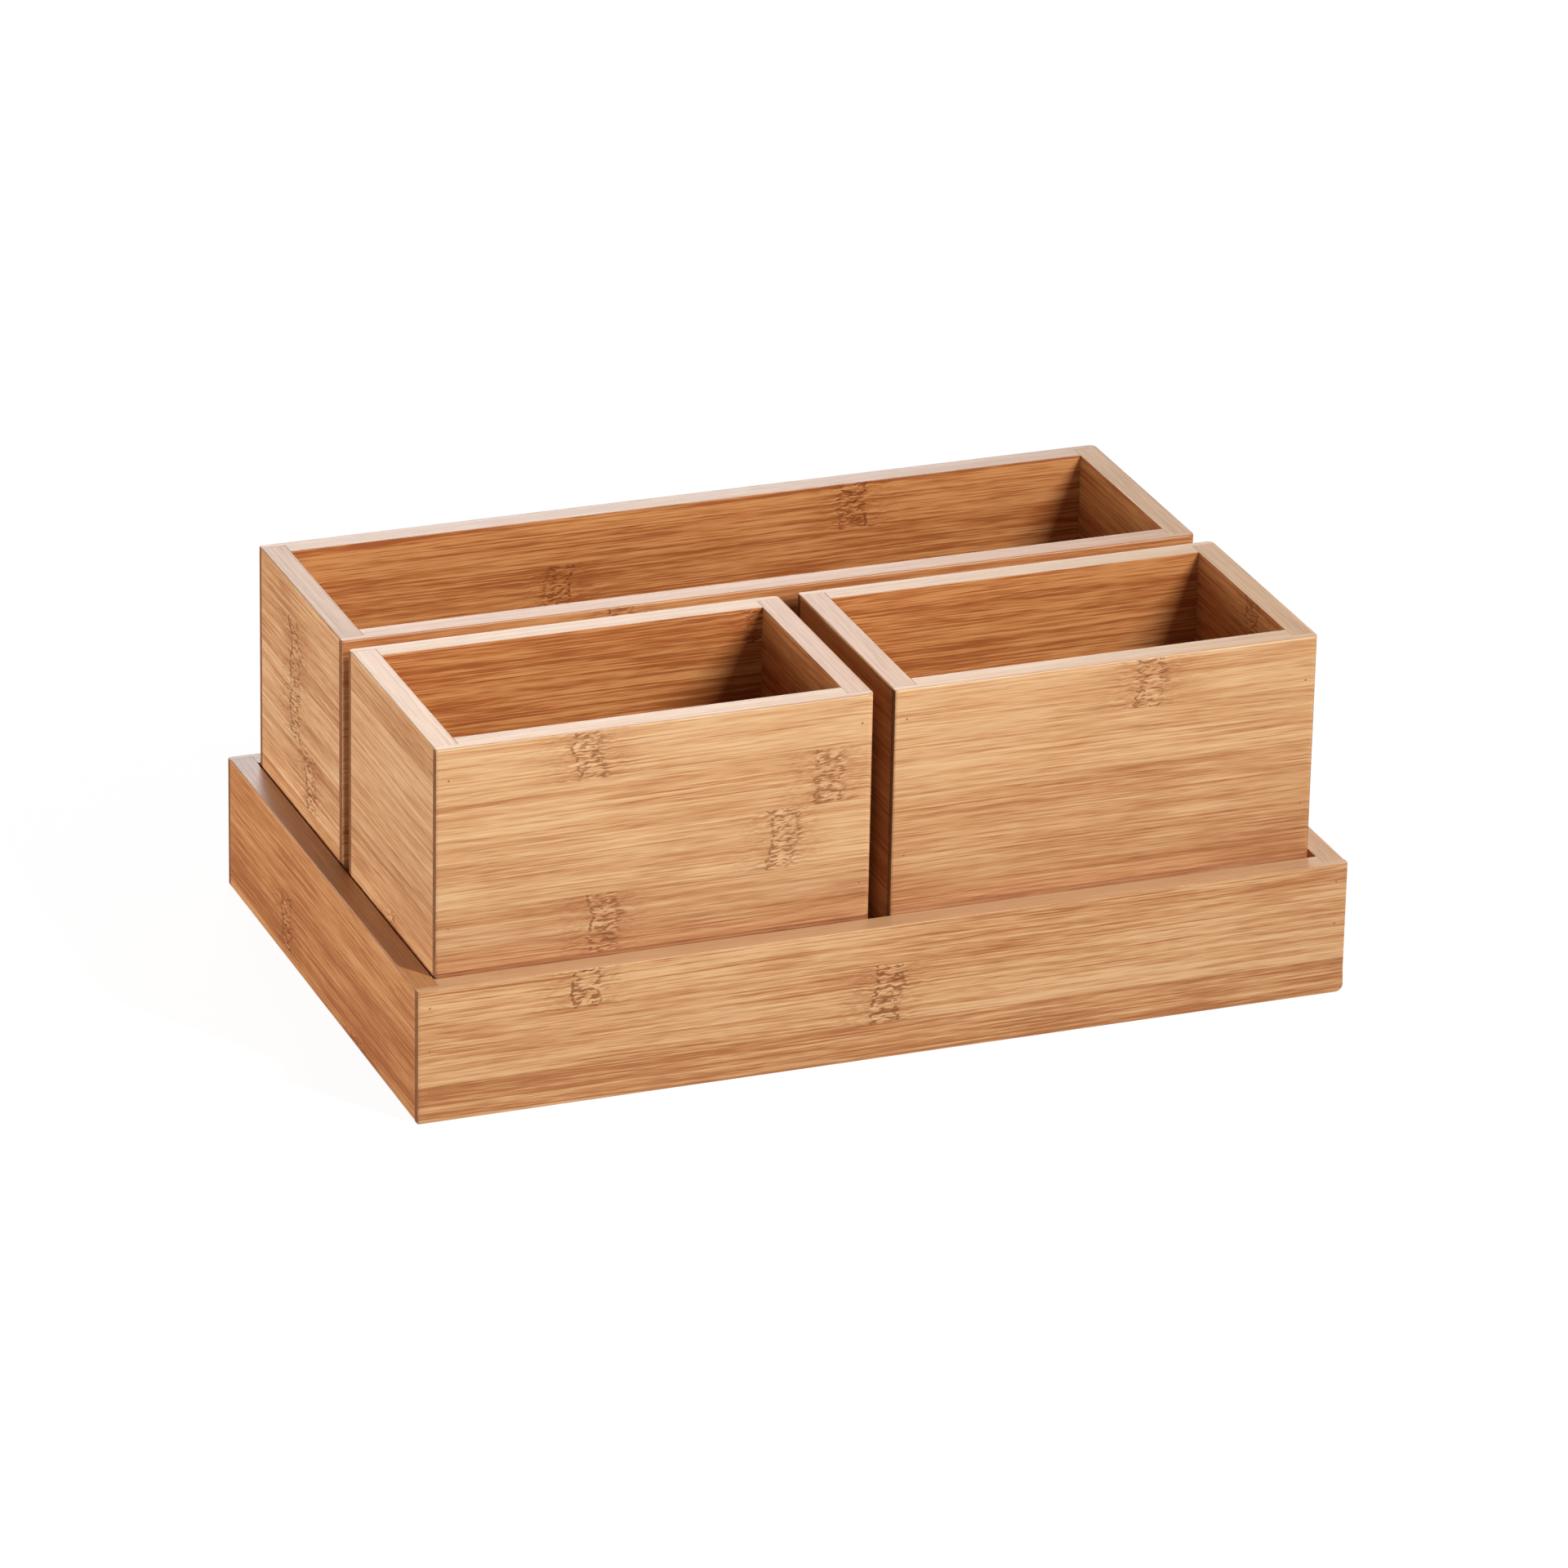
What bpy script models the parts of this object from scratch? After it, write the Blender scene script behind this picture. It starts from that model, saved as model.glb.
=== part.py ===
"""Bamboo desk organiser: a shallow tray that holds one long and two short open boxes for pens.

Each of the four is five boards: a front and a back that run the full width, two side boards let into
rabbets in their ends, and a floor panel held in grooves. Headless pins driven through the rabbet's lip
hold the boxes' corners. The boxes stand loose in the tray and lift out one by one.

Metres, +Z up, origin at the middle of the tray's underside, the long side along X, the front at -Y.
"""

import math

import bmesh
import bpy
from mathutils import Matrix, Vector

MM = 0.001

# Tray
TRAY_LENGTH = 240.0 * MM
TRAY_DEPTH = 149.0 * MM
TRAY_HEIGHT = 34.5 * MM
TRAY_WALL = 6.0 * MM

# Boxes
TOTAL_HEIGHT = 93.0 * MM
BOX_WALL = 6.3 * MM
BOX_DEPTH = 65.8 * MM
LONG_BOX_LENGTH = 223.5 * MM
SHORT_BOX_LENGTH = 110.4 * MM

# Joinery
FIT = 0.3 * MM  # play between neighbouring pieces
LIP = 2.0 * MM  # what a rabbet leaves of the front board
PANEL = 4.0 * MM  # floor panel thickness
PANEL_RECESS = 2.0 * MM  # from a wall's bottom edge up to the floor panel
GROOVE_DEPTH = 2.6 * MM
RIGHT_ROUND = 1.8 * MM
CORNER_ROUNDS = {"left": 0.7 * MM, "right": RIGHT_ROUND}  # outer upright edges
EDGE_ROUND = 0.4 * MM  # rim and foot edges
ROUND_SEGMENTS = 3

# Pins
PIN_DIAMETER = 0.7 * MM
PIN_HOLE = 1.0 * MM
PIN_LENGTH = 15.0 * MM
PIN_SUNK = 0.3 * MM  # head below the board's face
PIN_SIDES = 10
PIN_NAMES = ("low", "mid", "high")

# Places of the boxes in the tray
LEFT_PLAY = 0.5 * MM  # between the tray's left wall and the boxes beside it
RIGHT_PLAY = 1.6 * MM  # between the tray's right wall and the right box
WALL_PLAY = FIT  # between the boxes and the tray's front and back walls

BAMBOO = (0.62, 0.34, 0.14)
BAMBOO_SIDE = (0.56, 0.30, 0.11)
BAMBOO_FLOOR = (0.50, 0.26, 0.10)
STEEL = (0.23, 0.17, 0.12)


def clear_scene():
    for thing in list(bpy.data.objects):
        bpy.data.objects.remove(thing, do_unlink=True)


def new_collection(name, hidden=False):
    group = bpy.data.collections.new(name)
    group.hide_render = hidden
    bpy.context.scene.collection.children.link(group)
    return group


def finish(name, colour, roughness, metallic=0.0):
    """A plain Principled material."""
    material = bpy.data.materials.new(name)
    material.use_nodes = True
    shader = material.node_tree.nodes["Principled BSDF"]
    shader.inputs["Base Color"].default_value = (*colour, 1.0)
    shader.inputs["Roughness"].default_value = roughness
    shader.inputs["Metallic"].default_value = metallic
    material.diffuse_color = (*colour, 1.0)
    return material


def add_block(bm, low, high):
    """A box from its lowest to its highest corner."""
    low, high = Vector(low), Vector(high)
    place = Matrix.Translation((low + high) / 2) @ Matrix.Diagonal((*(high - low), 1.0))
    bmesh.ops.create_cube(bm, size=1.0, matrix=place)


def add_rod(bm, start, end, diameter):
    """A capped cylinder between two points."""
    start, end = Vector(start), Vector(end)
    along = end - start
    turn = along.to_track_quat("Z", "Y").to_matrix().to_4x4()
    bmesh.ops.create_cone(
        bm,
        cap_ends=True,
        segments=PIN_SIDES,
        radius1=diameter / 2,
        radius2=diameter / 2,
        depth=along.length,
        matrix=Matrix.Translation((start + end) / 2) @ turn,
    )


def new_object(name, bm, group, parent, location=(0, 0, 0), turn=0.0):
    mesh = bpy.data.meshes.new(name)
    bm.to_mesh(mesh)
    bm.free()
    piece = bpy.data.objects.new(name, mesh)
    piece.location = location
    piece.rotation_euler = (0, 0, turn)
    piece.parent = parent
    group.objects.link(piece)
    return piece


def cut(piece, name, shapes):
    """Cuts one group of shapes, which don't overlap each other, from a piece."""
    bm = bmesh.new()
    for add, args in shapes:
        add(bm, *args)
    cutter = new_object(f"{piece.name}_{name}", bm, cutters, piece)
    cutter.hide_render = True
    cutter.display_type = "WIRE"
    boolean = piece.modifiers.new(name, "BOOLEAN")
    boolean.operation = "DIFFERENCE"
    boolean.solver = "EXACT"
    boolean.object = cutter


def eased_board(name, size, group, parent, location, turn, rounds=(0.0, 0.0)):
    """A board along its own X, outer face at -Y, its rim, foot and outer upright edges eased."""
    length, wall, height = size
    bm = bmesh.new()
    add_block(bm, (-length / 2, -wall / 2, -height / 2), (length / 2, wall / 2, height / 2))
    weights = bm.edges.layers.float.new("bevel_weight_edge")
    for edge in bm.edges:
        middle = (edge.verts[0].co + edge.verts[1].co) / 2
        upright = abs(middle.z) < height / 4
        across = abs(middle.y) < wall / 4
        outer = middle.y < 0
        rim = middle.z > 0
        if upright and outer:
            edge[weights] = rounds[int(middle.x > 0)] / RIGHT_ROUND
        elif not upright and not across and (outer or rim):
            edge[weights] = EDGE_ROUND / RIGHT_ROUND
    board = new_object(name, bm, group, parent, location, turn)
    bevel = board.modifiers.new("eased_edges", "BEVEL")
    bevel.limit_method = "WEIGHT"
    bevel.width = RIGHT_ROUND
    bevel.segments = ROUND_SEGMENTS
    return board


def cut_groove(board, size):
    """The groove along the inner face that holds the floor panel."""
    length, wall, height = size
    low = -height / 2 + PANEL_RECESS - FIT
    groove = (
        (-length, wall / 2 - GROOVE_DEPTH, low),
        (length, wall, low + PANEL + 2 * FIT),
    )
    cut(board, "groove", [(add_block, groove)])


def face_board(name, size, side_wall, parent, location, turn, pins, rounds):
    """A front or back board: full width, a rabbet and a row of pin holes at each end."""
    length, wall, height = size
    board = eased_board(name, size, parts, parent, location, turn, rounds)
    rabbets = []
    holes = []
    for end, heights in zip((-1, 1), pins):
        shoulder = end * (length / 2 - side_wall - FIT)
        beyond = end * length
        low = (min(shoulder, beyond), LIP - wall / 2, -height)
        high = (max(shoulder, beyond), wall, height)
        rabbets.append((add_block, (low, high)))
        x = end * (length - side_wall) / 2
        for z in heights:
            hole = ((x, -wall, z - height / 2), (x, wall, z - height / 2), PIN_HOLE)
            holes.append((add_rod, hole))
    cut(board, "rabbets", rabbets)
    cut_groove(board, size)
    if holes:
        cut(board, "pin_holes", holes)
    return board


def side_board(name, size, parent, location, turn, pins):
    """A side board: square ends, each with a row of blind pin holes."""
    length, wall, height = size
    board = eased_board(name, size, parts, parent, location, turn)
    cut_groove(board, size)
    depth = PIN_LENGTH + PIN_SUNK + FIT - LIP
    holes = []
    for end in (-1, 1):
        for z in pins:
            mouth = (end * length, 0, z - height / 2)
            bottom = (end * (length / 2 - depth), 0, z - height / 2)
            holes.append((add_rod, (mouth, bottom, PIN_HOLE)))
    if holes:
        cut(board, "pin_holes", holes)
    return board


def add_pins(unit, half_length, half_depth, wall, pins):
    """Headless pins at the four corners, driven in from the front and the back."""
    for side, end in (("left", -1), ("right", 1)):
        for face, facing in (("front", -1), ("back", 1)):
            for label, z in zip(PIN_NAMES, pins[side]):
                name = f"{unit.name}_pin_{face}_{side}_{label}"
                bm = bmesh.new()
                half = PIN_LENGTH / 2
                add_rod(bm, (0, -half, 0), (0, half, 0), PIN_DIAMETER)
                x = end * (half_length - wall / 2)
                y = facing * (half_depth - PIN_SUNK - half)
                pin = new_object(name, bm, parts, unit, (x, y, z))
                pin.data.shade_smooth()
                pin.data.set_sharp_from_angle(angle=math.radians(40))
                pin.data.materials.append(finish(f"{name}_steel", STEEL, 0.5, 0.8))


def open_box(name, size, wall, foot, pins):
    """Four walls and a floor panel around an empty at the middle of the underside."""
    length, depth, height = size
    unit = bpy.data.objects.new(name, None)
    unit.empty_display_size = wall
    unit.location = foot
    parts.objects.link(unit)

    face_size = (length, wall, height)
    for face, facing, turn, ends in (
        ("front", -1, 0.0, ("left", "right")),
        ("back", 1, math.pi, ("right", "left")),
    ):
        place = (0, facing * (depth - wall) / 2, height / 2)
        rows = [pins[end] for end in ends]
        rounds = [CORNER_ROUNDS[end] for end in ends]
        board = face_board(f"{name}_{face}", face_size, wall, unit, place, turn, rows, rounds)
        board.data.materials.append(finish(f"{board.name}_bamboo", BAMBOO, 0.4))

    side_size = (depth - 2 * (LIP + FIT), wall, height)
    for side, end, turn in (("left", -1, -math.pi / 2), ("right", 1, math.pi / 2)):
        place = (end * (length - wall) / 2, 0, height / 2)
        board = side_board(f"{name}_{side}", side_size, unit, place, turn, pins[side])
        board.data.materials.append(finish(f"{board.name}_bamboo", BAMBOO_SIDE, 0.4))

    half_x = length / 2 - wall + GROOVE_DEPTH - FIT
    half_y = depth / 2 - wall + GROOVE_DEPTH - FIT
    bm = bmesh.new()
    add_block(bm, (-half_x, -half_y, -PANEL / 2), (half_x, half_y, PANEL / 2))
    panel = new_object(f"{name}_floor", bm, parts, unit, (0, 0, PANEL_RECESS + PANEL / 2))
    panel.data.materials.append(finish(f"{panel.name}_bamboo", BAMBOO_FLOOR, 0.45))

    if any(pins.values()):
        add_pins(unit, length / 2, depth / 2, wall, pins)
    return unit


def pin_rows(left, right):
    """Pin heights above the underside, in millimetres, by side."""
    return {"left": [z * MM for z in left], "right": [z * MM for z in right]}


clear_scene()
parts = new_collection("desk_organiser")
cutters = new_collection("cutters", hidden=True)

tray_floor_top = PANEL_RECESS + PANEL
foot_height = tray_floor_top + FIT
box_height = TOTAL_HEIGHT - foot_height
left_x = -TRAY_LENGTH / 2 + TRAY_WALL + LEFT_PLAY
right_x = TRAY_LENGTH / 2 - TRAY_WALL - RIGHT_PLAY
row_y = TRAY_DEPTH / 2 - TRAY_WALL - WALL_PLAY - BOX_DEPTH / 2

open_box(
    "tray",
    (TRAY_LENGTH, TRAY_DEPTH, TRAY_HEIGHT),
    TRAY_WALL,
    (0, 0, 0),
    pin_rows((), ()),
)
open_box(
    "long_box",
    (LONG_BOX_LENGTH, BOX_DEPTH, box_height),
    BOX_WALL,
    (left_x + LONG_BOX_LENGTH / 2, row_y, foot_height),
    pin_rows((8, 42, 79), (8, 42, 78)),
)
open_box(
    "left_box",
    (SHORT_BOX_LENGTH, BOX_DEPTH, box_height),
    BOX_WALL,
    (left_x + SHORT_BOX_LENGTH / 2, -row_y, foot_height),
    pin_rows((8, 40.5, 78.5), (8, 38, 79.5)),
)
open_box(
    "right_box",
    (SHORT_BOX_LENGTH, BOX_DEPTH, box_height),
    BOX_WALL,
    (right_x - SHORT_BOX_LENGTH / 2, -row_y, foot_height),
    pin_rows((8, 43.5, 79), (8, 43, 75.5)),
)
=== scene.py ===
"""Looks for the bamboo desk organiser: laminated boards, end grain, pins, studio and camera.

Every board is rebuilt at its CAD place with its joints closed to hairlines, laid up from strips the
way the real board is, each strip with its own tone, grain and knot.
"""

import math
import random

import bmesh
import bpy
from mathutils import Matrix, Vector


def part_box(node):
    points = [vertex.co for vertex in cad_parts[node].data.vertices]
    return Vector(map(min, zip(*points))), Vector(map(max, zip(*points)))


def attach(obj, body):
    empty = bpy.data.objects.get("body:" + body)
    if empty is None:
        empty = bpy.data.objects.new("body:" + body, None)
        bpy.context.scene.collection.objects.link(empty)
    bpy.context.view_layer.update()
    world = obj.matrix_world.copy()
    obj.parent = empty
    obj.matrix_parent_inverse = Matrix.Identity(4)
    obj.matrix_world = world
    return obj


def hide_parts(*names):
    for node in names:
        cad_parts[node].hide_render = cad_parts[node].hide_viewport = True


MM = 0.001

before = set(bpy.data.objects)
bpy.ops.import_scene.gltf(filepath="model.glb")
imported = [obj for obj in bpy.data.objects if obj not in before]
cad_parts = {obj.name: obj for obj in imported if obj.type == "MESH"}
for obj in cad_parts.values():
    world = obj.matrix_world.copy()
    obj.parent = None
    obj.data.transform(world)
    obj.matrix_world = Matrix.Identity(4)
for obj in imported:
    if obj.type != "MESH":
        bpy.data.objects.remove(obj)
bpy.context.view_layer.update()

BOXES = ("long_box", "left_box", "right_box")
UNITS = ("tray", *BOXES)

# Joinery, as the CAD solids have it
PLAY = 0.3 * MM  # what the CAD leaves between neighbouring pieces
GROOVE_PLAY = 0.05 * MM
GROOVE_DEPTH = 2.6 * MM
HAIRLINE = 0.02 * MM

# Edges
SEAM_CHAMFER = 0.07 * MM
EASED_EDGE = 0.4 * MM
INNER_EDGE = 0.15 * MM
CORNER_ROUNDS = {"left": 0.7 * MM, "right": 1.8 * MM}  # outer upright edges
WORN_FOOT = 2.4 * MM  # the lower right corner of the tray's front
SHARP_ANGLE = math.radians(50)

# Strips that a board is glued up from, measured down from the rim, in millimetres
STRIP = 15.0
NARROWEST_FIRST_STRIP = 7.0
NARROWEST_LAST_STRIP = 1.5
STRIPS_DRAWN = 6
STRIPS = {
    "left_box_front": (12.6, 26.8, 42.3, 57.5, 60.5, 73.0),
    "right_box_front": (12.9, 27.2, 42.3, 57.3, 60.3, 73.0),
    "tray_front": (10.0, 25.4),
    "tray_left": (17.0, 32.0),
    "left_box_left": (9.3, 23.8, 39.6, 54.8, 70.0),
    "long_box_left": (9.0, 24.0, 40.2, 55.0, 70.0),
    "long_box_back": (12.5, 27.6, 42.6, 57.8, 73.0),
}
# Lightness of each strip, rim first, -1 dark to 1 light
TONES = {
    "left_box_front": (0.6, 0.2, 0.3, 0.0, -0.3, -0.1, 0.0),
    "right_box_front": (0.55, 0.4, 0.0, -0.2, -0.3, -0.2, 0.0),
    "tray_front": (0.0, 0.35, -0.6),
    "tray_left": (0.2, -0.7, 0.0),
    "left_box_left": (-0.4, 0.5, 0.2, -0.2, 0.0, 0.0),
    "long_box_left": (-0.2, -0.1, 0.4, 0.0, -0.2, 0.0),
    "long_box_back": (0.2, -0.2, 0.1, 0.0, 0.0, 0.0),
}
TONE_RANGE = (-0.5, 0.5)  # of a strip that isn't listed
# Where each strip's knot is, from the board's left end as seen from outside, in millimetres
KNOTS = {
    "left_box_front": (38.5, 99.5, 88.0, 42.0, -60.0, 20.0, 70.0),
    "right_box_front": (67.0, -60.0, 180.0, -70.0, -60.0, 40.0, 90.0),
    "right_box_back": (-60.0, 170.0, -60.0, 60.0, 20.0, 90.0),
    "tray_front": (42.0, 119.5, -60.0),
    "tray_left": (-80.0, 46.0, 100.0),
    "left_box_left": (-90.0, 150.0, -120.0, 160.0, 30.0, 40.0),
    "long_box_left": (-90.0, 26.5, 27.0, 38.5, -60.0, 30.0),
    "long_box_back": (68.2, 147.2, 30.0, 190.0, 110.0, 60.0),
    "right_box_right": (23.5, 120.0, 45.0, -50.0, 50.0, 10.0),
}
KNOT_RANGE = (-20, 150.0)  # where a knot falls that isn't listed
# Painted shade: how much deeper in colour a board's outside is, from 0 to the 1 painted on all
# insides; it darkens the faces in the gaps and the tray's left side
PAINTED_DEEP_SHADE_AMOUNTS = {
    "tray_left": 0.9,
    "tray_front": 0.2,
    "right_box_front": 0.12,
    "left_box_left": 0.2,
    "long_box_left": 0.15,
    "long_box_front": 0.7,
    "right_box_left": 0.7,
    "left_box_right": 0.7,
}
# How strongly the grain shows
FIGURE = 0.85
FIGURES = {"tray_front": 1.05, "tray_left": 1.0, "long_box_left": 1.0}
# Lightness and extra roughness of the rims that aren't like the others
RIM_TONES = {
    "tray_front": 0.5,
    "tray_left": -0.2,
    "tray_right": -0.2,
    "long_box_left": -1.0,
    "long_box_back": -1.3,
    "long_box_front": -0.1,
    "left_box_left": 0.1,
    "right_box_front": 0.7,
    "right_box_back": 0.3,
}
RIM_DULLNESS = {
    "tray_right": 0.12,
    "right_box_right": 0.12,
    "long_box_right": 0.12,
    "long_box_left": 0.05,
}
# Painted shade on the strips just above the tray's rim, standing in for the contact shadow there: how
# dark at the top and at the foot
PAINTED_SHADE_ABOVE_TRAY = {
    "left_box_front": {2: (0.0, 0.08), 3: (0.08, 0.45), 4: (1.0, 0.0)},
    "right_box_front": {2: (0.0, 0.06), 3: (0.06, 0.40), 4: (1.0, 0.0)},
}
INNER_FIGURE = 1.7  # times the board's own
RIM_FIGURE = 0.5


# ---------------------------------------------------------------- node helpers


class Graph:
    """Short names for the nodes that the finishes and effects are made of."""

    def __init__(self, tree):
        self.tree = tree

    def add(self, kind, **settings):
        node = self.tree.nodes.new(kind)
        for name, value in settings.items():
            setattr(node, name, value)
        return node

    def feed(self, socket, value):
        if isinstance(value, bpy.types.NodeSocket):
            self.tree.links.new(value, socket)
        else:
            socket.default_value = value

    def math(self, operation, *values, clamp=False):
        node = self.add("ShaderNodeMath", operation=operation, use_clamp=clamp)
        for socket, value in zip(node.inputs, values):
            self.feed(socket, value)
        return node.outputs[0]

    def ramp(self, value, low, high, start=0.0, end=1.0):
        """A smooth step from start, at low, to end, at high."""
        node = self.add("ShaderNodeMapRange", interpolation_type="SMOOTHSTEP")
        for socket, number in zip(node.inputs, (value, low, high, start, end)):
            self.feed(socket, number)
        return node.outputs[0]

    def vector(self, x, y, z):
        node = self.add("ShaderNodeCombineXYZ")
        for socket, value in zip(node.inputs, (x, y, z)):
            self.feed(socket, value)
        return node.outputs[0]

    def noise(self, vector, scale=1.0, detail=0.0, roughness=0.5):
        node = self.add("ShaderNodeTexNoise")
        self.feed(node.inputs["Vector"], vector)
        node.inputs["Scale"].default_value = scale
        node.inputs["Detail"].default_value = detail
        node.inputs["Roughness"].default_value = roughness
        return node.outputs[0]

    def swing(self, vector, reach, **options):
        """Noise as a signed shift of up to about half the reach either way."""
        return self.math("MULTIPLY", self.math("SUBTRACT", self.noise(vector, **options), 0.5), reach)

    def mix(self, factor, first, second, blend="MIX"):
        node = self.add("ShaderNodeMix", data_type="RGBA", blend_type=blend)
        self.feed(node.inputs[0], factor)
        self.feed(node.inputs[6], first)
        self.feed(node.inputs[7], second)
        return node.outputs[2]


def new_group(name, inputs, outputs):
    """A shader node group with float sockets by name."""
    tree = bpy.data.node_groups.new(name, "ShaderNodeTree")
    for label in inputs:
        tree.interface.new_socket(label, in_out="INPUT", socket_type="NodeSocketFloat")
    for label in outputs:
        tree.interface.new_socket(label, in_out="OUTPUT", socket_type="NodeSocketFloat")
    graph = Graph(tree)
    source = graph.add("NodeGroupInput")
    sink = graph.add("NodeGroupOutput")
    return graph, source.outputs, sink.inputs


def use_group(graph, tree, **values):
    node = graph.add("ShaderNodeGroup", node_tree=tree)
    for label, value in values.items():
        graph.feed(node.inputs[label.replace("_", " ").title()], value)
    return node.outputs


# ---------------------------------------------------------------- effects


def make_grain():
    """Fibres that run along the board. Along and Across are in millimetres."""
    g, given, out = new_group(
        "bamboo_grain",
        ("Along", "Across", "Seed", "Ripple"),
        ("Shade", "Dash", "Height"),
    )
    along, seed = given["Along"], g.math("MULTIPLY", given["Seed"], 61.7)

    def at(along_scale, across, across_scale, shift):
        return g.vector(
            g.math("MULTIPLY", along, along_scale),
            g.math("MULTIPLY", across, across_scale),
            g.math("ADD", seed, shift),
        )

    lazy = g.swing(at(0.012, given["Across"], 0.05, 1.3), 1.8)
    ripple = g.swing(at(0.28, given["Across"], 0.42, 2.9), 1.0, detail=1.0)
    reach = g.math("MULTIPLY_ADD", given["Ripple"], 1.2, 0.12)
    across = g.math("ADD", given["Across"], lazy)
    across = g.math("MULTIPLY_ADD", ripple, reach, across)

    broad = g.noise(at(0.006, across, 0.15, 3.1), detail=1.0)
    band = g.noise(at(0.011, across, 0.70, 5.3), detail=1.0)
    line = g.noise(at(0.014, across, 2.1, 6.1), detail=1.0)
    streak = g.noise(at(0.055, across, 2.0, 7.7), detail=1.0)
    fibre = g.noise(at(0.20, across, 4.4, 9.1))
    cloud = g.noise(at(0.035, given["Across"], 0.10, 12.1), detail=1.0)

    shade = 0.5
    shares = (
        (broad, 0.28),
        (band, 0.45),
        (line, 0.70),
        (streak, 0.70),
        (fibre, 0.34),
        (cloud, 0.30),
    )
    for part, weight in shares:
        offset = g.math("SUBTRACT", part, 0.5)
        shade = g.math("MULTIPLY_ADD", offset, weight, shade)
    g.feed(out["Shade"], shade)

    dash = g.noise(at(0.07, across, 2.7, 15.7), detail=1.0)
    g.feed(out["Dash"], g.ramp(dash, 0.58, 0.72))

    height = g.math("MULTIPLY_ADD", fibre, 0.5, g.math("MULTIPLY", streak, 0.5))
    g.feed(out["Height"], height)
    return g.tree


def make_knot():
    """A node of the bamboo stalk: a ragged band of short cross dashes between two broken lines."""
    g, given, out = new_group(
        "bamboo_knot",
        ("Distance", "Across", "Seed"),
        ("Line", "Dash", "Fleck", "Pit", "Near"),
    )
    distance, across = given["Distance"], given["Across"]
    seed = g.math("MULTIPLY", given["Seed"], 43.9)

    def along_line(scale, shift):
        return g.vector(0.0, g.math("MULTIPLY", across, scale), g.math("ADD", seed, shift))

    jag = g.math("ADD", g.swing(along_line(0.14, 1.0), 4.0), g.swing(along_line(0.75, 4.0), 2.2))
    place = g.math("SUBTRACT", distance, jag)
    lines = []
    for centre, strength, shift in ((-3.4, 1.0, 7.0), (3.0, 0.6, 9.0)):
        own = g.swing(along_line(1.6, shift), 1.6)
        off = g.math("ABSOLUTE", g.math("SUBTRACT", g.math("SUBTRACT", place, centre), own))
        broken = g.ramp(g.noise(along_line(0.95, shift + 3.0)), 0.38, 0.52)
        stroke = g.math("MULTIPLY", g.ramp(off, 0.15, 0.55, strength, 0.0), broken)
        lines.append(stroke)
    g.feed(out["Line"], g.math("MAXIMUM", *lines))

    inside = g.math(
        "MULTIPLY",
        g.ramp(place, -5.0, -3.0),
        g.ramp(place, 2.8, 5.5, 1.0, 0.0),
    )
    tilt = g.math("MULTIPLY_ADD", distance, -0.10, across)
    curl = g.vector(g.math("MULTIPLY", distance, 0.5), g.math("MULTIPLY", across, 0.7), seed)
    tilt = g.math("ADD", tilt, g.swing(curl, 1.1))
    speck = g.noise(
        g.vector(
            g.math("MULTIPLY", distance, 0.44),
            g.math("MULTIPLY", tilt, 2.0),
            g.math("ADD", seed, 17.0),
        ),
        detail=1.5,
    )
    near = g.ramp(g.math("ABSOLUTE", g.math("ADD", place, 1.0)), 3.0, 16.0, 1.0, 0.0)
    spread = g.math("MAXIMUM", inside, g.math("MULTIPLY", near, 0.35))
    g.feed(out["Dash"], g.math("MULTIPLY", g.ramp(speck, 0.50, 0.61), spread))
    g.feed(out["Fleck"], g.math("MULTIPLY", g.ramp(speck, 0.50, 0.36), spread))

    cells = g.add("ShaderNodeTexVoronoi")
    cells.inputs["Scale"].default_value = 1.0
    g.feed(
        cells.inputs["Vector"],
        g.vector(g.math("MULTIPLY", distance, 0.5), g.math("MULTIPLY", across, 0.62), seed),
    )
    chosen = g.add("ShaderNodeSeparateColor")
    g.feed(chosen.inputs[0], cells.outputs["Color"])
    pit = g.math(
        "MULTIPLY",
        g.ramp(cells.outputs["Distance"], 0.09, 0.17, 1.0, 0.0),
        g.math("GREATER_THAN", chosen.outputs[0], 0.62),
    )
    g.feed(out["Pit"], g.math("MULTIPLY", pit, g.math("GREATER_THAN", inside, 0.4)))
    g.feed(out["Near"], near)
    return g.tree


GRAIN = make_grain()
KNOT = make_knot()


# ---------------------------------------------------------------- finishes


def new_finish(name):
    material = bpy.data.materials.new(name)
    material.use_nodes = True
    graph = Graph(material.node_tree)
    return material, graph, material.node_tree.nodes["Principled BSDF"]


def add_bump(g, shader, height, strength, distance):
    bump = g.add("ShaderNodeBump")
    bump.inputs["Strength"].default_value = strength
    bump.inputs["Distance"].default_value = distance
    g.feed(bump.inputs["Height"], height)
    g.feed(shader.inputs["Normal"], bump.outputs["Normal"])


def face_value(g, name):
    return g.add("ShaderNodeAttribute", attribute_name=name).outputs["Fac"]


PER_METRE = 1000.0  # millimetres
SATIN = 0.43  # roughness of the lacquer
TONE_SHOWS = 0.16
NEAR_KNOT_SHOWS = -0.09
FLECK_SHOWS = 0.16
DASH_SHOWS = 0.22
GLUE_SHOWS = 0.30
KNOT_MARKS = (("Dash", 0.78), ("Line", 0.85), ("Pit", 1.0))
WHITE = (1.0, 1.0, 1.0, 1.0)


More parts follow.
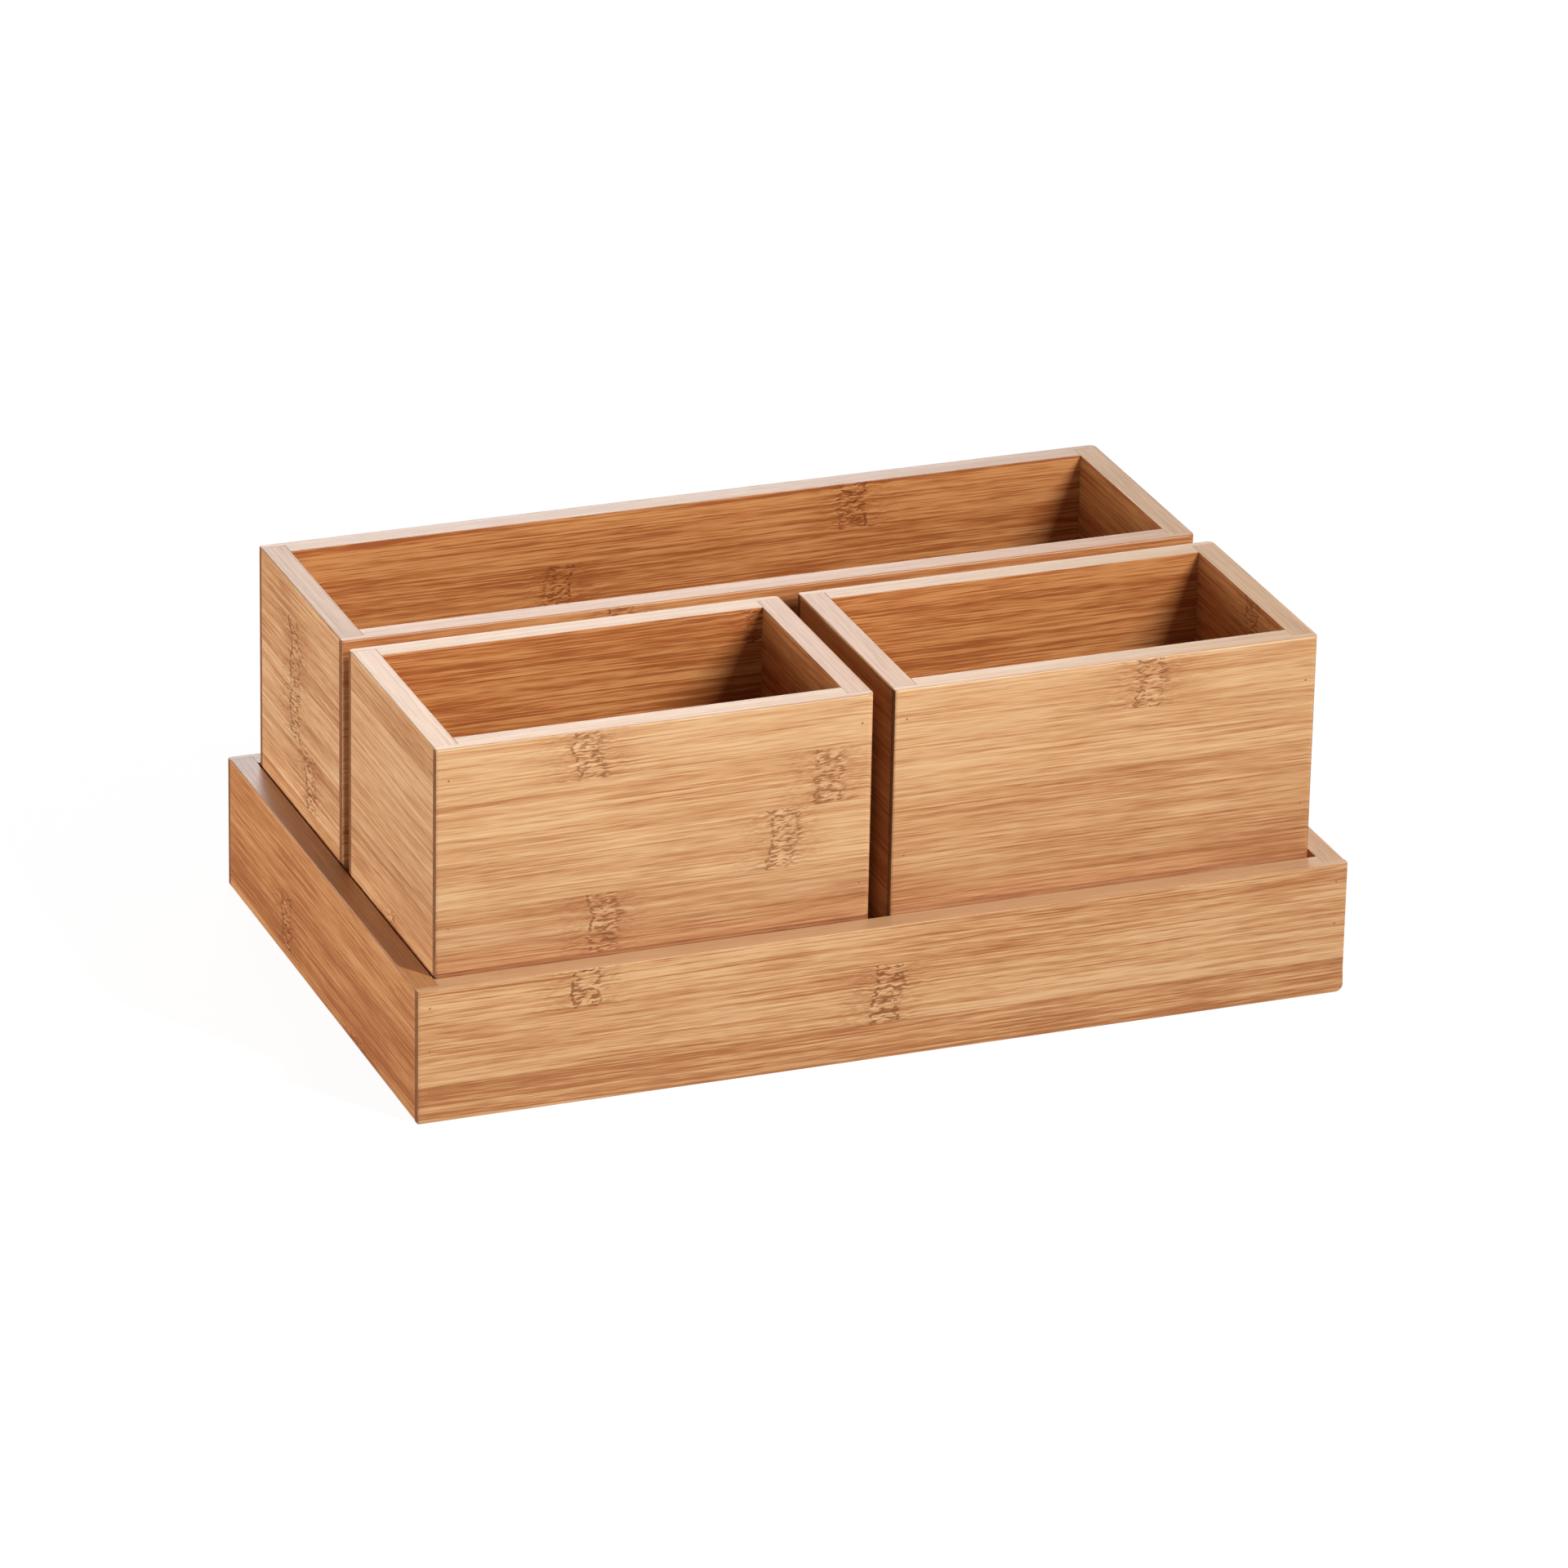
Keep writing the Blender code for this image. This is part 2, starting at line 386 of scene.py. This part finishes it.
def make_bamboo(name, dark, mean, light, mark):
    """Satin lacquered bamboo: grain along the strip, a knot where the strip has one, and painted
    shade where a face's values ask for it.
    """
    material, g, shader = new_finish(name)
    grain_map = g.add("ShaderNodeSeparateXYZ")
    g.feed(grain_map.inputs[0], g.add("ShaderNodeUVMap", uv_map="grain").outputs[0])
    strip_map = g.add("ShaderNodeSeparateXYZ")
    g.feed(strip_map.inputs[0], g.add("ShaderNodeUVMap", uv_map="strip").outputs[0])
    along = g.math("MULTIPLY", grain_map.outputs[0], PER_METRE)
    across = g.math("MULTIPLY", grain_map.outputs[1], PER_METRE)
    distance = g.math("MULTIPLY", strip_map.outputs[0], PER_METRE)
    above_glue = g.math("MULTIPLY", strip_map.outputs[1], PER_METRE)
    seed = face_value(g, "seed")

    knot = use_group(g, KNOT, distance=distance, across=across, seed=seed)
    grain = use_group(g, GRAIN, along=along, across=across, seed=seed, ripple=knot["Near"])

    figure = face_value(g, "figure")
    shade = g.math("MULTIPLY_ADD", g.math("SUBTRACT", grain["Shade"], 0.5), figure, 0.5)
    shade = g.math("MULTIPLY_ADD", face_value(g, "tone"), TONE_SHOWS, shade)
    shade = g.math("MULTIPLY_ADD", knot["Near"], NEAR_KNOT_SHOWS, shade)
    shade = g.math("MULTIPLY_ADD", knot["Fleck"], FLECK_SHOWS, shade)
    colours = g.add("ShaderNodeValToRGB")
    colours.color_ramp.elements[0].position = 0.25
    colours.color_ramp.elements[0].color = (*dark, 1.0)
    colours.color_ramp.elements[1].position = 0.75
    colours.color_ramp.elements[1].color = (*light, 1.0)
    middle = colours.color_ramp.elements.new(0.5)
    middle.color = (*mean, 1.0)
    g.feed(colours.inputs["Fac"], shade)

    glue = g.math("MULTIPLY", g.ramp(above_glue, 0.05, 0.35, 1.0, 0.0), GLUE_SHOWS)
    marks = g.math("MULTIPLY", grain["Dash"], DASH_SHOWS)
    for label, strength in KNOT_MARKS:
        marks = g.math("MAXIMUM", marks, g.math("MULTIPLY", knot[label], strength))
    marks = g.math("MULTIPLY", g.math("MAXIMUM", marks, glue), g.math("MINIMUM", figure, 1.0))
    colour = g.mix(marks, colours.outputs[0], (*mark, 1.0))
    # painted shade: strips above the tray's rim are multiplied darker by the 'dark' value, a stand-in
    # for contact shadow
    painted_shade_colour = g.mix(1.0, colour, (*PAINTED_SHADE_TINT, 1.0), "MULTIPLY")
    colour = g.mix(face_value(g, "dark"), colour, painted_shade_colour)
    # painted shade: the 'depth' value gives insides and shaded outsides a deeper, more saturated
    # colour
    deep_shade_colour = g.mix(face_value(g, "depth"), WHITE, (*PAINTED_DEEP_SHADE_TINT, 1.0))
    g.feed(shader.inputs["Base Color"], g.mix(1.0, colour, deep_shade_colour, "MULTIPLY"))

    rough = g.math("ADD", face_value(g, "dull"), SATIN)
    g.feed(shader.inputs["Roughness"], g.math("MULTIPLY_ADD", grain["Height"], -0.10, rough))
    height = g.math("MULTIPLY_ADD", marks, -0.7, grain["Height"])
    add_bump(g, shader, g.math("MULTIPLY", height, figure), 0.35, 0.05 * MM)
    return material


def make_end_grain(name, light, dark):
    """The sawn end of a strip: fibre bundles as fine dots."""
    material, g, shader = new_finish(name)
    place = g.add("ShaderNodeTexCoord").outputs["Object"]
    dots = g.add("ShaderNodeTexVoronoi")
    dots.inputs["Scale"].default_value = 1900.0
    g.feed(dots.inputs["Vector"], place)
    bundle = g.ramp(dots.outputs["Distance"], 0.15, 0.55, 1.0, 0.0)
    blotch = g.noise(place, scale=420.0, detail=2.0)
    amount = g.math("MULTIPLY_ADD", blotch, 0.7, g.math("MULTIPLY", bundle, 0.35))
    g.feed(shader.inputs["Base Color"], g.mix(amount, (*light, 1.0), (*dark, 1.0)))
    g.feed(shader.inputs["Roughness"], g.math("MULTIPLY_ADD", blotch, 0.15, 0.65))
    shader.inputs["Specular IOR Level"].default_value = 0.25
    add_bump(g, shader, bundle, 0.2, 0.04 * MM)
    return material


def make_pin_finish(name):
    """A dark steel pin whose head is dulled by wood filler."""
    material, g, shader = new_finish(name)
    place = g.add("ShaderNodeTexCoord").outputs["Object"]
    stain = g.noise(place, scale=2600.0, detail=2.0)
    deep, pale = (0.28, 0.11, 0.04, 1.0), (0.46, 0.2, 0.085, 1.0)
    g.feed(shader.inputs["Base Color"], g.mix(stain, deep, pale))
    g.feed(shader.inputs["Roughness"], g.math("MULTIPLY_ADD", stain, 0.3, 0.4))
    g.feed(shader.inputs["Metallic"], g.ramp(stain, 0.55, 0.75, 0.0, 0.3))
    return material


# What the wood's colour is multiplied by where the painted shade above the tray's rim is full, and
# where the painted deep shade is full
PAINTED_SHADE_TINT = (0.45, 0.30, 0.22)
PAINTED_DEEP_SHADE_TINT = (0.82, 0.60, 0.40)
BAMBOO = make_bamboo(
    "bamboo_board",
    dark=(0.42, 0.165, 0.060),
    mean=(0.615, 0.318, 0.140),
    light=(0.745, 0.465, 0.245),
    mark=(0.20, 0.060, 0.016),
)
# painted shade: upward faces (rims and floor panels) get a darker, paler copy of the wood's colours,
# toning down the lit tops
RIM_PAINTED_SHADE = make_bamboo(
    "bamboo_rim_painted_shade",
    dark=(0.38, 0.185, 0.080),
    mean=(0.52, 0.297, 0.147),
    light=(0.63, 0.400, 0.225),
    mark=(0.20, 0.070, 0.022),
)
END_GRAIN = make_end_grain("bamboo_end_grain", (0.27, 0.10, 0.034), (0.11, 0.036, 0.011))
PIN_FINISH = make_pin_finish("filled_pin")


# ---------------------------------------------------------------- boards


class Board:
    """One board in its own frame: X along it, outer face at -Y, middle at the origin."""

    def __init__(self, name, length, wall, height, centre, turn):
        self.name = name
        self.length = length
        self.wall = wall
        self.height = height
        self.place = Matrix.Translation(centre) @ Matrix.Rotation(turn, 4, "Z")
        self.dice = random.Random(name)
        self.cuts = self.strip_edges()
        count = len(self.cuts) + 1
        tones = TONES.get(name) or [self.dice.uniform(*TONE_RANGE) for _ in range(count)]
        knots = KNOTS.get(name) or [self.dice.uniform(*KNOT_RANGE) for _ in range(count)]
        self.tones = list(tones)
        self.depth = PAINTED_DEEP_SHADE_AMOUNTS.get(name, 0.0)
        self.figure = FIGURES.get(name, FIGURE)
        self.rim_tone = RIM_TONES.get(name, 0.0)
        self.rim_dullness = RIM_DULLNESS.get(name, 0.0)
        self.painted_shade_above_tray = PAINTED_SHADE_ABOVE_TRAY.get(name, {})
        self.knots = [knot * MM - length / 2 for knot in knots]
        self.seeds = [self.dice.random() for _ in range(count)]

    def strip_edges(self):
        """Heights of the glue lines between strips, rim first."""
        down = STRIPS.get(self.name)
        if not down:
            first = self.dice.uniform(NARROWEST_FIRST_STRIP, STRIP)
            down = [first + STRIP * step for step in range(STRIPS_DRAWN)]
        edges = [self.height / 2 - value * MM for value in down]
        return [z for z in edges if z > -self.height / 2 + NARROWEST_LAST_STRIP * MM]

    def strip_of(self, z):
        return sum(z < edge for edge in self.cuts)


def near(value, target, within=1e-6):
    return abs(value - target) < within


def slab(bm, low, high):
    low, high = Vector(low), Vector(high)
    size = Matrix.Diagonal((*(high - low), 1.0))
    bmesh.ops.create_cube(bm, size=1.0, matrix=Matrix.Translation((low + high) / 2) @ size)


def slice_at(bm, axis, value):
    normal = Vector((0, 0, 0))
    normal[axis] = 1.0
    point = normal * value
    everything = bm.verts[:] + bm.edges[:] + bm.faces[:]
    bmesh.ops.bisect_plane(bm, geom=everything, dist=1e-7, plane_co=point, plane_no=normal)


def raise_faces(bm, faces, shift):
    grown = bmesh.ops.extrude_face_region(bm, geom=faces)["geom"]
    bmesh.ops.delete(bm, geom=faces, context="FACES_ONLY")
    verts = [v for v in grown if isinstance(v, bmesh.types.BMVert)]
    bmesh.ops.translate(bm, verts=verts, vec=shift)


def ease(bm, chosen, offset, segments):
    edges = [edge for edge in bm.edges if chosen(*(v.co for v in edge.verts))]
    bmesh.ops.bevel(
        bm,
        geom=edges,
        offset=offset,
        segments=segments,
        profile=0.5,
        affect="EDGES",
        material=-1,
        clamp_overlap=True,
    )


def shape_board(board, core, shoulder, groove):
    """A slab as thick as its core, with the inner face raised outside the groove and the rabbets."""
    half_x, half_y, half_z = board.length / 2, board.wall / 2, board.height / 2
    bm = bmesh.new()
    slab(bm, (-half_x, -half_y, -half_z), (half_x, core - half_y, half_z))
    for z in groove:
        slice_at(bm, 2, z)
    if shoulder < half_x:
        slice_at(bm, 0, -shoulder)
        slice_at(bm, 0, shoulder)
    raised = []
    for face in bm.faces:
        middle = face.calc_center_median()
        inner = near(middle.y, core - half_y)
        if inner and abs(middle.x) < shoulder and not groove[0] < middle.z < groove[1]:
            raised.append(face)
    raise_faces(bm, raised, (0, board.wall - core, 0))
    return bm


def ease_board(bm, board, core, shoulder, rounds):
    """Rounds the upright outer corners, then the rim and foot, then chamfers the joint lines."""
    half_x, half_y, half_z = board.length / 2, board.wall / 2, board.height / 2
    lipped = shoulder < half_x
    ledge = core - half_y
    outline = -half_y + max(rounds, default=0.0) + 1e-6

    def level(a, b, axis):
        return near(a[axis], b[axis])

    def upright(a, b, x):
        return near(a.x, x) and near(b.x, x) and near(a.y, -half_y) and near(b.y, -half_y)

    def worn_foot(a, b):
        return all(near(v.x, half_x) and near(v.z, -half_z) for v in (a, b))

    def rim_or_foot(a, b):
        end = lipped and near(abs(a.x), half_x) and near(abs(b.x), half_x)
        flat = level(a, b, 2) and near(abs(a.z), half_z)
        return flat and (end or max(a.y, b.y) < outline)

    def inner_rim(a, b):
        return level(a, b, 1) and level(a, b, 2) and near(a.y, half_y) and near(a.z, half_z)

    def seam(a, b):
        top = near(a.z, half_z) and near(b.z, half_z)
        end = near(abs(a.x), half_x) and near(abs(b.x), half_x)
        stands = level(a, b, 0) and level(a, b, 1)
        if not lipped:
            return end and (top or stands)
        along = near(a.y, ledge) and near(b.y, ledge)
        across = near(abs(a.x), shoulder) and level(a, b, 0) and min(a.y, b.y) > ledge - 1e-6
        return (top and (along or across)) or (stands and end and near(a.y, ledge))

    if board.name == "tray_front":
        ease(bm, worn_foot, WORN_FOOT, 5)
    for x, radius in zip((-half_x, half_x), rounds):
        ease(bm, lambda a, b, x=x: upright(a, b, x), radius, 5)
    ease(bm, rim_or_foot, EASED_EDGE, 3)
    ease(bm, inner_rim, INNER_EDGE, 2)
    ease(bm, seam, SEAM_CHAMFER, 1)


def lay_up(bm, board):
    """Cuts the faces at the glue lines and writes each strip's grain."""
    for z in board.cuts:
        slice_at(bm, 2, z)
    grain = bm.loops.layers.uv.new("grain")
    strip_map = bm.loops.layers.uv.new("strip")
    tone = bm.faces.layers.float.new("tone")
    depth = bm.faces.layers.float.new("depth")
    figure = bm.faces.layers.float.new("figure")
    dull = bm.faces.layers.float.new("dull")
    seed = bm.faces.layers.float.new("seed")
    # the 'dark' value is painted shade, for the strips just above the tray's rim
    dark = bm.loops.layers.float.new("dark")
    bottoms = [*board.cuts, -board.height / 2 - STRIP * MM]
    bm.normal_update()
    for face in bm.faces:
        middle = face.calc_center_median()
        strip = board.strip_of(middle.z)
        face[seed] = board.seeds[strip]
        inner_side = face.normal.y > 0.5
        rim = face.normal.z > 0.5
        # upward faces take the darker painted-shade copy of the wood's colours
        face.material_index = 2 if rim else int(abs(face.normal.x) > 0.8)
        face[tone] = board.rim_tone if rim else board.tones[strip]
        # the 'depth' value is painted shade, full on every inner face
        face[depth] = 1.0 if inner_side else board.depth
        face[dull] = board.rim_dullness if rim else 0.0
        own_figure = board.figure * (INNER_FIGURE if inner_side else 1.0)
        face[figure] = RIM_FIGURE if rim else own_figure
        # painted shade at the strip's top and foot, none on the inner side
        head_painted_shade, foot_painted_shade = board.painted_shade_above_tray.get(strip, (0.0, 0.0))
        if inner_side:
            head_painted_shade = foot_painted_shade = 0.0
        for loop in face.loops:
            at = loop.vert.co
            loop[dark] = head_painted_shade if at.z > middle.z else foot_painted_shade
            over = board.height / 2 + (at.y + board.wall / 2)
            if inner_side:
                across = over + board.height / 2 - at.z
            elif face.normal.z < -0.5:
                across = at.z - (at.y + board.wall / 2)
            else:
                across = over + at.z - board.height / 2
            loop[grain].uv = (at.x, across)
            to_knot = 1.0 if rim else at.x - board.knots[strip]
            loop[strip_map].uv = (to_knot, at.z - bottoms[strip])


def finish_piece(name, bm, body, materials, replaced=()):
    bmesh.ops.recalc_face_normals(bm, faces=bm.faces)
    mesh = bpy.data.meshes.new(name)
    bm.to_mesh(mesh)
    bm.free()
    for material in materials:
        mesh.materials.append(material)
    piece = bpy.data.objects.new(name, mesh)
    bpy.context.scene.collection.objects.link(piece)
    mesh.shade_smooth()
    mesh.set_sharp_from_angle(angle=SHARP_ANGLE)
    normals = piece.modifiers.new("flat_faces_stay_flat", "WEIGHTED_NORMAL")
    normals.keep_sharp = True
    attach(piece, body)
    if replaced:
        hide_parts(*replaced)
    return piece


def make_board(board, unit, core, shoulder, groove, rounds=()):
    bm = shape_board(board, core, shoulder, groove)
    ease_board(bm, board, core, shoulder, rounds)
    lay_up(bm, board)
    bmesh.ops.transform(bm, matrix=board.place, verts=bm.verts)
    finish_piece(f"{board.name}_board", bm, unit, (BAMBOO, END_GRAIN, RIM_PAINTED_SHADE), (board.name,))


def make_floor(unit, low, high, groove_z):
    """The floor panel, glued up from strips that run along X, let into the grooves."""
    name = f"{unit}_floor"
    size = high - low
    board = Board(name, size.x, size.z, size.y, (low + high) / 2, 0.0)
    board.place = Matrix.Translation((low + high) / 2) @ Matrix.Rotation(math.pi / 2, 4, "X")
    bm = bmesh.new()
    slab(bm, (-size.x / 2, -size.z / 2, -size.y / 2), (size.x / 2, size.z / 2, size.y / 2))
    lay_up(bm, board)
    bmesh.ops.transform(bm, matrix=board.place, verts=bm.verts)
    finish_piece(f"{name}_panel", bm, unit, (BAMBOO, END_GRAIN, RIM_PAINTED_SHADE), (name,))


def make_case(unit):
    """Front, back, two sides and a floor, joint lines closed to hairlines."""
    low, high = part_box(f"{unit}_front")[0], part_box(f"{unit}_back")[1]
    side_low, side_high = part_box(f"{unit}_left")
    floor_low, floor_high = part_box(f"{unit}_floor")
    wall = side_high.x - side_low.x
    height = high.z - low.z
    middle = (low + high) / 2
    lip = side_low.y - low.y - PLAY / 2
    groove = (floor_low.z - GROOVE_PLAY - middle.z, floor_high.z + GROOVE_PLAY - middle.z)

    length = high.x - low.x
    shoulder = length / 2 - wall
    for face, y, turn, ends in (
        ("front", low.y + wall / 2, 0.0, ("left", "right")),
        ("back", high.y - wall / 2, math.pi, ("right", "left")),
    ):
        centre = (middle.x, y, middle.z)
        board = Board(f"{unit}_{face}", length, wall, height, centre, turn)
        rounds = [CORNER_ROUNDS[end] for end in ends]
        make_board(board, unit, lip, shoulder, groove, rounds)

    span = high.y - low.y - 2 * (lip + HAIRLINE)
    sides = (("left", low.x + wall / 2, -math.pi / 2), ("right", high.x - wall / 2, math.pi / 2))
    for side, x, turn in sides:
        board = Board(f"{unit}_{side}", span, wall, height, (x, middle.y, middle.z), turn)
        make_board(board, unit, wall - GROOVE_DEPTH, span, groove)

    make_floor(unit, floor_low, floor_high, groove)


# ---------------------------------------------------------------- pins


FILLER_PROUD = 0.015 * MM
HEAD_CHAMFER = 0.08 * MM
HEAD_RADIUS = 0.34 * MM
TRAY_PIN_HEIGHTS = (7.9, 18.7, 29.8)


def make_pin(name, unit, x, z, face_y, facing, length, replaced=()):
    """A pin from just proud of the face inwards, its head levelled with filler."""
    bm = bmesh.new()
    bmesh.ops.create_cone(
        bm,
        cap_ends=True,
        segments=20,
        radius1=HEAD_RADIUS,
        radius2=HEAD_RADIUS,
        depth=length,
        matrix=Matrix.Rotation(math.pi / 2, 4, "X"),
    )

    def end_rim(a, b):
        return near(abs(a.y), length / 2) and near(a.y, b.y)

    ease(bm, end_rim, HEAD_CHAMFER, 2)
    y = face_y + facing * (FILLER_PROUD - length / 2)
    bmesh.ops.translate(bm, verts=bm.verts, vec=(x, y, z))
    finish_piece(name, bm, unit, (PIN_FINISH,), replaced)


def make_pins(unit):
    low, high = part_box(f"{unit}_front")[0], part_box(f"{unit}_back")[1]
    faces = {"front": (low.y, -1), "back": (high.y, 1)}
    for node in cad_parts:
        if not node.startswith(f"{unit}_pin_"):
            continue
        face_y, facing = faces[node.split("_pin_")[1].split("_")[0]]
        pin_low, pin_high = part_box(node)
        middle = (pin_low + pin_high) / 2
        length = pin_high.y - pin_low.y
        make_pin(f"{node}_filled", unit, middle.x, middle.z, face_y, facing, length, (node,))


def make_tray_pins():
    """The tray's pins, which are only modelled here."""
    low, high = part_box("tray_front")[0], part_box("tray_back")[1]
    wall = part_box("tray_left")[1].x - low.x
    pin_low, pin_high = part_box("left_box_pin_front_left_low")
    length = pin_high.y - pin_low.y
    for face, face_y, facing in (("front", low.y, -1), ("back", high.y, 1)):
        for side, x in (("left", low.x + wall / 2), ("right", high.x - wall / 2)):
            for number, height in enumerate(TRAY_PIN_HEIGHTS, 1):
                name = f"tray_pin_{face}_{side}_{number}"
                make_pin(name, "tray", x, low.z + height * MM, face_y, facing, length)


# ---------------------------------------------------------------- studio


FLOOR_DROP = 0.2 * MM
FLOOR_GLOW = 0.93
WORLD_LIGHT = 0.08
MIDDLE = (0.0, 0.0, 0.05)
# Name, place, what it aims at, size and power
SOFTBOXES = (
    ("key", (0.46, -0.9, 0.77), (-1.6, -0.6, 0.6), (0.09, 0.6), 30.5),
    ("right_fill", (1.5, -0.3, 0.7), MIDDLE, (1.0, 1.0), 7.0),
    ("left_card", (-0.8, 0.12, 0.10), MIDDLE, (0.9, 0.2), 6.7),
    ("front_card", (0.0, -1.2, 0.12), MIDDLE, (0.9, 0.2), 1.8),
    ("front_left_fill", (-0.8, -1.1, 0.6), MIDDLE, (0.6, 0.6), 1.3),
    ("back_panel", (0.55, 1.6, 0.75), MIDDLE, (2.4, 1.0), 5.2),
    ("back_glow", (0.30, 1.6, 0.80), MIDDLE, (0.9, 0.5), 10.0),
)
CAMERA_AZIMUTH = math.radians(-21.21)
CAMERA_ELEVATION = math.radians(23.28)
CAMERA_ROLL = math.radians(1.12)
CAMERA_AIM = Vector((0.00045, 0.0, 0.0412))
CAMERA_DISTANCE = 2.209
LENS = 205.3


def make_floor_plane():
    """A white table that glows for the camera alone, so that it casts nothing on the wood."""
    bm = bmesh.new()
    bmesh.ops.create_grid(bm, x_segments=1, y_segments=1, size=6.0)
    mesh = bpy.data.meshes.new("studio_floor")
    bm.to_mesh(mesh)
    bm.free()
    floor = bpy.data.objects.new("studio_floor", mesh)
    material, _, shader = new_finish("white_floor")
    shader.inputs["Base Color"].default_value = (0.12, 0.12, 0.12, 1.0)
    shader.inputs["Roughness"].default_value = 1.0
    shader.inputs["Specular IOR Level"].default_value = 0.0
    shader.inputs["Emission Color"].default_value = WHITE
    shader.inputs["Emission Strength"].default_value = FLOOR_GLOW
    mesh.materials.append(material)
    bpy.context.scene.collection.objects.link(floor)
    floor.location.z = -FLOOR_DROP
    floor.visible_diffuse = False
    floor.visible_glossy = False
    floor.visible_shadow = False


def add_softbox(name, place, aim, size, power):
    light = bpy.data.lights.new(name, "AREA")
    light.shape = "RECTANGLE"
    light.size, light.size_y = size
    light.energy = power
    lamp = bpy.data.objects.new(name, light)
    lamp.location = place
    lamp.rotation_euler = (Vector(aim) - Vector(place)).to_track_quat("-Z", "Y").to_euler()
    lamp.visible_camera = False
    bpy.context.scene.collection.objects.link(lamp)


def make_lights():
    world = bpy.data.worlds.new("white_studio")
    world.use_nodes = True
    backdrop = world.node_tree.nodes["Background"]
    backdrop.inputs["Color"].default_value = WHITE
    backdrop.inputs["Strength"].default_value = WORLD_LIGHT
    bpy.context.scene.world = world
    for softbox in SOFTBOXES:
        add_softbox(*softbox)


def make_camera():
    """A long lens from the front left, looking down."""
    back = Vector((
        math.sin(CAMERA_AZIMUTH) * math.cos(CAMERA_ELEVATION),
        -math.cos(CAMERA_AZIMUTH) * math.cos(CAMERA_ELEVATION),
        math.sin(CAMERA_ELEVATION),
    ))
    data = bpy.data.cameras.new("camera")
    data.sensor_width = 36.0
    data.lens = LENS
    camera = bpy.data.objects.new("camera", data)
    place = Matrix.Translation(CAMERA_AIM + back * CAMERA_DISTANCE)
    turn = back.to_track_quat("Z", "Y").to_matrix().to_4x4()
    camera.matrix_world = place @ turn @ Matrix.Rotation(CAMERA_ROLL, 4, "Z")
    bpy.context.scene.collection.objects.link(camera)
    bpy.context.scene.camera = camera


for case in UNITS:
    make_case(case)
for case in BOXES:
    make_pins(case)
make_tray_pins()
make_floor_plane()
make_lights()
make_camera()
bpy.context.scene.view_settings.view_transform = "Standard"
